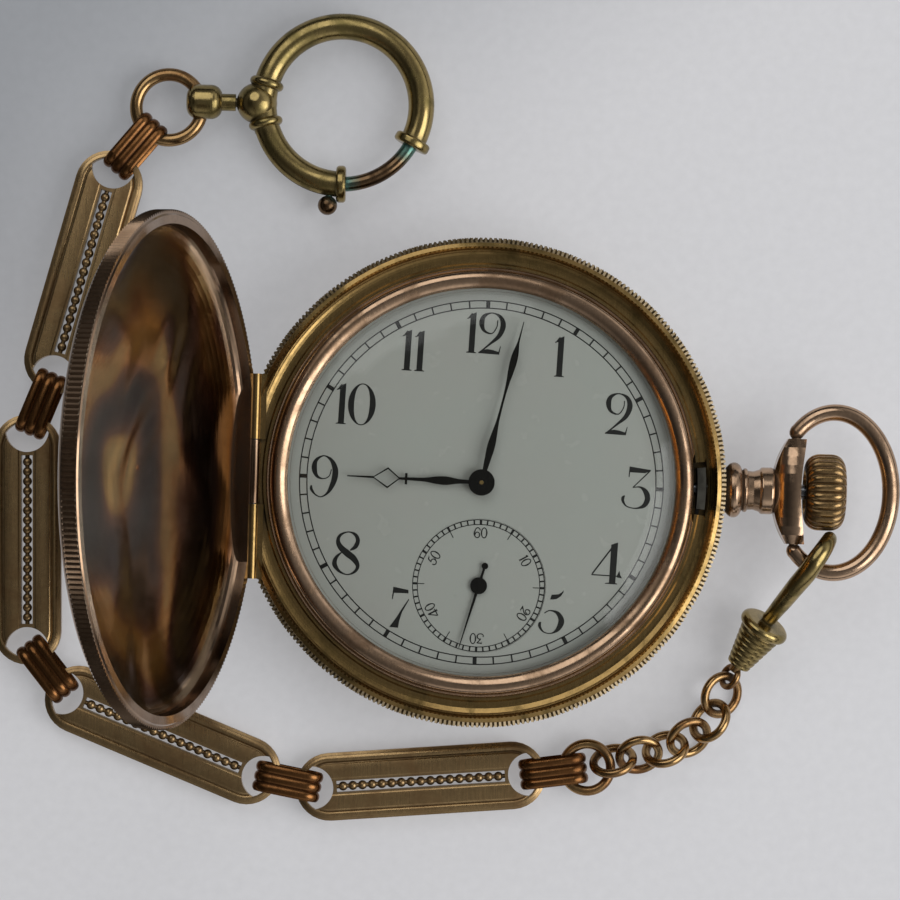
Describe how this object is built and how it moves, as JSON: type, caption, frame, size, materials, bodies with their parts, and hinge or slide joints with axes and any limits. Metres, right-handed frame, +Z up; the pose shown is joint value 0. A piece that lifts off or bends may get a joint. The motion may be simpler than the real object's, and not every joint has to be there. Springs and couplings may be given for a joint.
{
  "type": "hunter pocket watch",
  "caption": "Full hunter pocket watch lying open, with hinged lids, winding crown, seconds sub-dial, inner gear train and a guard chain with swivel hook and bolt ring.",
  "frame": {"origin": "centre of the back lid's flat rest face", "axes": "+Z up out of the dial, +X from the dial's centre to the crown at 3 o'clock, +Y to 12 o'clock"},
  "size_m": [0.0973, 0.087, 0.0585],
  "materials": {
    "case_gold": "worn gold, satin with a polished rim",
    "rose_gold": "polished rose gold",
    "olive_brass": "tarnished gilt brass",
    "chain_brass": "dark worn brass",
    "crystal_glass": "clear domed glass",
    "dial_enamel": "white vitreous enamel, fired gloss",
    "hand_steel": "blackened steel",
    "nickel_plate": "brushed nickel silver",
    "wheel_brass": "gilt brass",
    "spring_steel": "hardened steel"
  },
  "bodies": {
    "case": {"case_centre": "case_gold", "pendant": "rose_gold", "front_hinge_pin": "spring_steel", "back_hinge_pin": "spring_steel", "dial": "dial_enamel", "mainplate": "nickel_plate", "barrel_bridge": "nickel_plate", "train_bridge": "nickel_plate", "balance_cock": "nickel_plate", "hairspring": "spring_steel", "movement_screws": "spring_steel"},
    "front_lid": {"front_lid": "rose_gold"},
    "back_lid": {"back_lid": "case_gold"},
    "cuvette": {"cuvette": "case_gold"},
    "bezel": {"bezel": "rose_gold", "crystal": "crystal_glass"},
    "bow": {"bow": "rose_gold"},
    "winding_arbor": {"winding_arbor": "spring_steel"},
    "crown": {"crown": "olive_brass", "winding_stem": "spring_steel"},
    "lock_spring": {"lock_spring": "spring_steel"},
    "barrel": {"mainspring_barrel": "wheel_brass"},
    "ratchet": {"ratchet_wheel": "spring_steel"},
    "crown_wheel": {"crown_wheel": "spring_steel"},
    "centre_wheel": {"centre_wheel": "wheel_brass"},
    "third_wheel": {"third_wheel": "wheel_brass"},
    "fourth_wheel": {"fourth_wheel": "wheel_brass", "seconds_hand": "hand_steel"},
    "escape_wheel": {"escape_wheel": "spring_steel"},
    "pallet_fork": {"pallet_fork": "spring_steel"},
    "balance": {"balance_wheel": "wheel_brass"},
    "minute_hand": {"minute_hand": "hand_steel", "cannon_pinion": "spring_steel"},
    "minute_wheel": {"minute_wheel": "wheel_brass"},
    "hour_hand": {"hour_hand": "hand_steel", "hour_wheel": "wheel_brass"},
    "swivel_hook": {"swivel_hook": "olive_brass"},
    "hook_gate": {"hook_gate": "chain_brass"},
    "swivel_barrel": {"swivel_barrel": "olive_brass"},
    "swivel_eye": {"swivel_eye": "chain_brass"},
    "ring_1": {"ring_1": "chain_brass"},
    "ring_2": {"ring_2": "chain_brass"},
    "ring_3": {"ring_3": "chain_brass"},
    "ring_4": {"ring_4": "chain_brass"},
    "ring_5": {"ring_5": "chain_brass"},
    "ring_6": {"ring_6": "chain_brass"},
    "ring_7": {"ring_7": "chain_brass"},
    "connector_1": {"connector_1": "chain_brass"},
    "connector_2": {"connector_2": "chain_brass"},
    "connector_3": {"connector_3": "chain_brass"},
    "connector_4": {"connector_4": "chain_brass"},
    "connector_5": {"connector_5": "chain_brass"},
    "plate_link_1": {"plate_link_1": "chain_brass"},
    "plate_link_2": {"plate_link_2": "chain_brass"},
    "plate_link_3": {"plate_link_3": "chain_brass"},
    "plate_link_4": {"plate_link_4": "chain_brass"},
    "end_ring": {"end_ring": "chain_brass"},
    "ball_swivel": {"ball_swivel": "olive_brass"},
    "bolt_ring": {"bolt_ring": "olive_brass"},
    "bolt_slide": {"bolt_slide": "chain_brass"}
  },
  "joints": [
    {"name": "front_lid_hinge", "type": "hinge", "parent": "case", "child": "front_lid", "pos_m": [-0.0241, 0, 0.0105], "axis": [0, 1, 0], "range_deg": [0, 106.5]},
    {"name": "back_lid_hinge", "type": "hinge", "parent": "case", "child": "back_lid", "pos_m": [-0.0241, 0, 0.004], "axis": [0, 1, 0], "range_deg": [0, 95]},
    {"name": "cuvette_hinge", "type": "hinge", "parent": "case", "child": "cuvette", "pos_m": [-0.0241, 0, 0.004], "axis": [0, 1, 0], "range_deg": [0, 88]},
    {"name": "bezel_lift", "type": "slide", "parent": "case", "child": "bezel", "axis": [0, 0, -1], "range_m": [-0.01, 0]},
    {"name": "bow_swing", "type": "hinge", "parent": "case", "child": "bow", "pos_m": [0.03345, 0, 0.00725], "axis": [0, -1, 0], "range_deg": [0, 45]},
    {"name": "crown_turn", "type": "hinge", "parent": "case", "child": "winding_arbor", "pos_m": [0.016, 0, 0.00725], "axis": [1, 0, 0], "continuous": true},
    {"name": "crown_press", "type": "slide", "parent": "winding_arbor", "child": "crown", "axis": [1, 0, 0], "range_m": [-0.0003, 0], "stiffness_N_per_m": 300},
    {"name": "lock_spring_flex", "type": "hinge", "parent": "case", "child": "lock_spring", "pos_m": [0.01717, -0.01546, 0.0087], "axis": [0, 0, -1], "range_deg": [-1, 0]},
    {"name": "crown_wheel_turn", "type": "hinge", "parent": "case", "child": "crown_wheel", "pos_m": [0.00862, 0.00581, 0.0022], "axis": [0, 0, 1], "continuous": true},
    {"name": "ratchet_turn", "type": "hinge", "parent": "case", "child": "ratchet", "pos_m": [0.00254, 0.00947, 0.0022], "axis": [0, 0, 1], "continuous": true},
    {"name": "fourth_wheel_turn", "type": "hinge", "parent": "case", "child": "fourth_wheel", "pos_m": [0, -0.01095, 0.0044], "axis": [0, 0, 1], "continuous": true},
    {"name": "third_wheel_turn", "type": "hinge", "parent": "case", "child": "third_wheel", "pos_m": [0.00436, -0.00573, 0.005], "axis": [0, 0, 1], "continuous": true},
    {"name": "centre_wheel_turn", "type": "hinge", "parent": "case", "child": "centre_wheel", "pos_m": [0, 0, 0.0058], "axis": [0, 0, 1], "continuous": true},
    {"name": "barrel_turn", "type": "hinge", "parent": "case", "child": "barrel", "pos_m": [0.00254, 0.00947, 0.0045], "axis": [0, 0, 1], "continuous": true},
    {"name": "escape_wheel_turn", "type": "hinge", "parent": "case", "child": "escape_wheel", "pos_m": [-0.00537, -0.01291, 0.0053], "axis": [0, 0, 1], "continuous": true},
    {"name": "balance_swing", "type": "hinge", "parent": "case", "child": "balance", "pos_m": [-0.0115, -0.006, 0.0046], "axis": [0, 0, 1], "range_deg": [-135, 135], "stiffness_Nm_per_rad": 0.0000002},
    {"name": "pallet_rock", "type": "hinge", "parent": "case", "child": "pallet_fork", "pos_m": [-0.00795, -0.01001, 0.0054], "axis": [0, 0, 1], "range_deg": [-6, 6]},
    {"name": "minute_hand_turn", "type": "hinge", "parent": "case", "child": "minute_hand", "pos_m": [0, 0, 0.009], "axis": [0, 0, 1], "continuous": true},
    {"name": "minute_wheel_turn", "type": "hinge", "parent": "case", "child": "minute_wheel", "pos_m": [0.00259, 0.00188, 0.0083], "axis": [0, 0, 1], "continuous": true},
    {"name": "hour_hand_turn", "type": "hinge", "parent": "case", "child": "hour_hand", "pos_m": [0, 0, 0.009], "axis": [0, 0, 1], "continuous": true},
    {"name": "hook_tilt", "type": "hinge", "parent": "bow", "child": "swivel_hook", "pos_m": [0.0358, -0.0072, 0.00725], "axis": [0, -1, 0], "range_deg": [-45, 0]},
    {"name": "gate_press", "type": "hinge", "parent": "swivel_hook", "child": "hook_gate", "pos_m": [0.032, -0.0132, 0.0037], "axis": [0.8494, -0.5277, 0], "range_deg": [0, 6], "stiffness_Nm_per_rad": 0.0005},
    {"name": "barrel_spin", "type": "hinge", "parent": "swivel_hook", "child": "swivel_barrel", "pos_m": [0.0311, -0.014, 0.0046], "axis": [-0.4734, -0.7953, -0.3787], "continuous": true},
    {"name": "eye_spin", "type": "hinge", "parent": "swivel_barrel", "child": "swivel_eye", "pos_m": [0.0311, -0.014, 0.0046], "axis": [-0.4734, -0.7953, -0.3787], "continuous": true},
    {"name": "ring_1_swing", "type": "hinge", "parent": "swivel_eye", "child": "ring_1", "pos_m": [0.02704, -0.02159, 0.0017], "axis": [0, 0, 1], "range_deg": [0, 8]},
    {"name": "ring_2_swing", "type": "hinge", "parent": "ring_1", "child": "ring_2", "pos_m": [0.026, -0.0235, 0.0017], "axis": [0, 0, 1], "range_deg": [0, 6]},
    {"name": "ring_3_swing", "type": "hinge", "parent": "ring_2", "child": "ring_3", "pos_m": [0.0243, -0.02585, 0.0017], "axis": [0, 0, 1], "range_deg": [0, 6]},
    {"name": "ring_4_swing", "type": "hinge", "parent": "ring_3", "child": "ring_4", "pos_m": [0.02195, -0.02745, 0.0017], "axis": [0, 0, 1], "range_deg": [0, 6]},
    {"name": "ring_5_swing", "type": "hinge", "parent": "ring_4", "child": "ring_5", "pos_m": [0.0193, -0.02845, 0.0017], "axis": [0, 0, 1], "range_deg": [0, 6]},
    {"name": "ring_6_swing", "type": "hinge", "parent": "ring_5", "child": "ring_6", "pos_m": [0.0165, -0.02915, 0.0017], "axis": [0, 0, 1], "range_deg": [0, 6]},
    {"name": "ring_7_swing", "type": "hinge", "parent": "ring_6", "child": "ring_7", "pos_m": [0.0137, -0.0299, 0.0017], "axis": [0, 0, 1], "range_deg": [0, 6]},
    {"name": "connector_1_swing", "type": "hinge", "parent": "ring_7", "child": "connector_1", "pos_m": [0.0114, -0.0304, 0.00165], "axis": [0, 0, 1], "range_deg": [0, 10]},
    {"name": "plate_link_1_swing", "type": "hinge", "parent": "connector_1", "child": "plate_link_1", "pos_m": [0.0055, -0.03129, 0.00165], "axis": [0, 0, 1], "range_deg": [0, 6]},
    {"name": "connector_2_swing", "type": "hinge", "parent": "plate_link_1", "child": "connector_2", "pos_m": [-0.0167, -0.03331, 0.00165], "axis": [0, 0, 1], "range_deg": [0, 8]},
    {"name": "plate_link_2_swing", "type": "hinge", "parent": "connector_2", "child": "plate_link_2", "pos_m": [-0.02321, -0.03215, 0.00165], "axis": [0, 0, 1], "range_deg": [0, 8]},
    {"name": "connector_3_swing", "type": "hinge", "parent": "plate_link_2", "child": "connector_3", "pos_m": [-0.04399, -0.02405, 0.00165], "axis": [0, 0, 1], "range_deg": [0, 8]},
    {"name": "plate_link_3_swing", "type": "hinge", "parent": "connector_3", "child": "plate_link_3", "pos_m": [-0.04849, -0.01855, 0.00165], "axis": [0, 0, 1], "range_deg": [0, 8]},
    {"name": "connector_4_swing", "type": "hinge", "parent": "plate_link_3", "child": "connector_4", "pos_m": [-0.04911, 0.00375, 0.00165], "axis": [0, 0, 1], "range_deg": [0, 8]},
    {"name": "plate_link_4_swing", "type": "hinge", "parent": "connector_4", "child": "plate_link_4", "pos_m": [-0.04636, 0.01086, 0.00165], "axis": [0, 0, 1], "range_deg": [0, 8]},
    {"name": "connector_5_swing", "type": "hinge", "parent": "plate_link_4", "child": "connector_5", "pos_m": [-0.04074, 0.03244, 0.00165], "axis": [0, 0, 1], "range_deg": [0, 8]},
    {"name": "end_ring_swing", "type": "hinge", "parent": "connector_5", "child": "end_ring", "pos_m": [-0.0361, 0.0382, 0.00165], "axis": [0, 0, 1], "range_deg": [0, 4]},
    {"name": "ball_swivel_swing", "type": "hinge", "parent": "end_ring", "child": "ball_swivel", "pos_m": [-0.0348, 0.0397, 0.00165], "axis": [0, 0, 1], "range_deg": [-20, 20]},
    {"name": "bolt_ring_turn", "type": "hinge", "parent": "ball_swivel", "child": "bolt_ring", "pos_m": [-0.02795, 0.04035, 0.00225], "axis": [1, 0, 0], "continuous": true},
    {"name": "bolt_draw", "type": "hinge", "parent": "bolt_ring", "child": "bolt_slide", "pos_m": [-0.01605, 0.04035, 0.00245], "axis": [0, 0, -1], "range_deg": [0, 60], "stiffness_Nm_per_rad": 0.001}
  ],
  "couplings": [
    {"joint": "cuvette_hinge", "follows": "back_lid_hinge", "ratio": 0.9},
    {"joint": "lock_spring_flex", "follows": "crown_press", "rad_per_m": 50},
    {"joint": "crown_wheel_turn", "follows": "crown_turn", "ratio": 0.4},
    {"joint": "ratchet_turn", "follows": "crown_turn", "ratio": -0.3},
    {"joint": "third_wheel_turn", "follows": "fourth_wheel_turn", "ratio": -0.13333},
    {"joint": "centre_wheel_turn", "follows": "fourth_wheel_turn", "ratio": 0.016667},
    {"joint": "barrel_turn", "follows": "fourth_wheel_turn", "ratio": -0.002778},
    {"joint": "escape_wheel_turn", "follows": "fourth_wheel_turn", "ratio": -10},
    {"joint": "pallet_rock", "follows": "balance_swing", "ratio": 0.037},
    {"joint": "minute_wheel_turn", "follows": "minute_hand_turn", "ratio": -0.33333},
    {"joint": "hour_hand_turn", "follows": "minute_hand_turn", "ratio": 0.083333},
    {"joint": "hook_tilt", "follows": "bow_swing", "ratio": -1},
    {"joint": "eye_spin", "follows": "barrel_spin", "ratio": -1}
  ]
}
